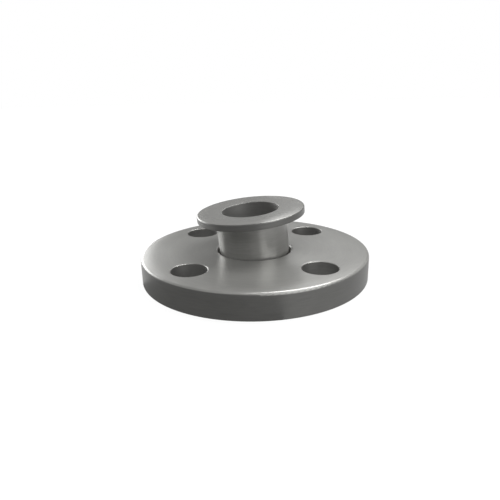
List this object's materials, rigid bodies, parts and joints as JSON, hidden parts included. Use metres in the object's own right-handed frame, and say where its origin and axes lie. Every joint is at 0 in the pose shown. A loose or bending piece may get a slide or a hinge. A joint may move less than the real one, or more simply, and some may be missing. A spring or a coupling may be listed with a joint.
{
  "type": "lap joint flange with stub end",
  "caption": "Round steel lap joint flange with a ring of bolt holes, and a short lapped stub end standing askew in its bore.",
  "frame": {"origin": "centre of the flange's back face, on the surface that it lies on", "axes": "+Z along the flange's axis, towards its front face and the lap; X and Y midway between the bolt holes"},
  "size_m": [0.108, 0.108, 0.0337],
  "materials": {
    "flange_steel": "satin turned stainless steel",
    "stub_steel": "satin turned stainless steel"
  },
  "bodies": {
    "root": {"backing_flange": "flange_steel", "stub_end": "stub_steel"}
  },
  "joints": []
}
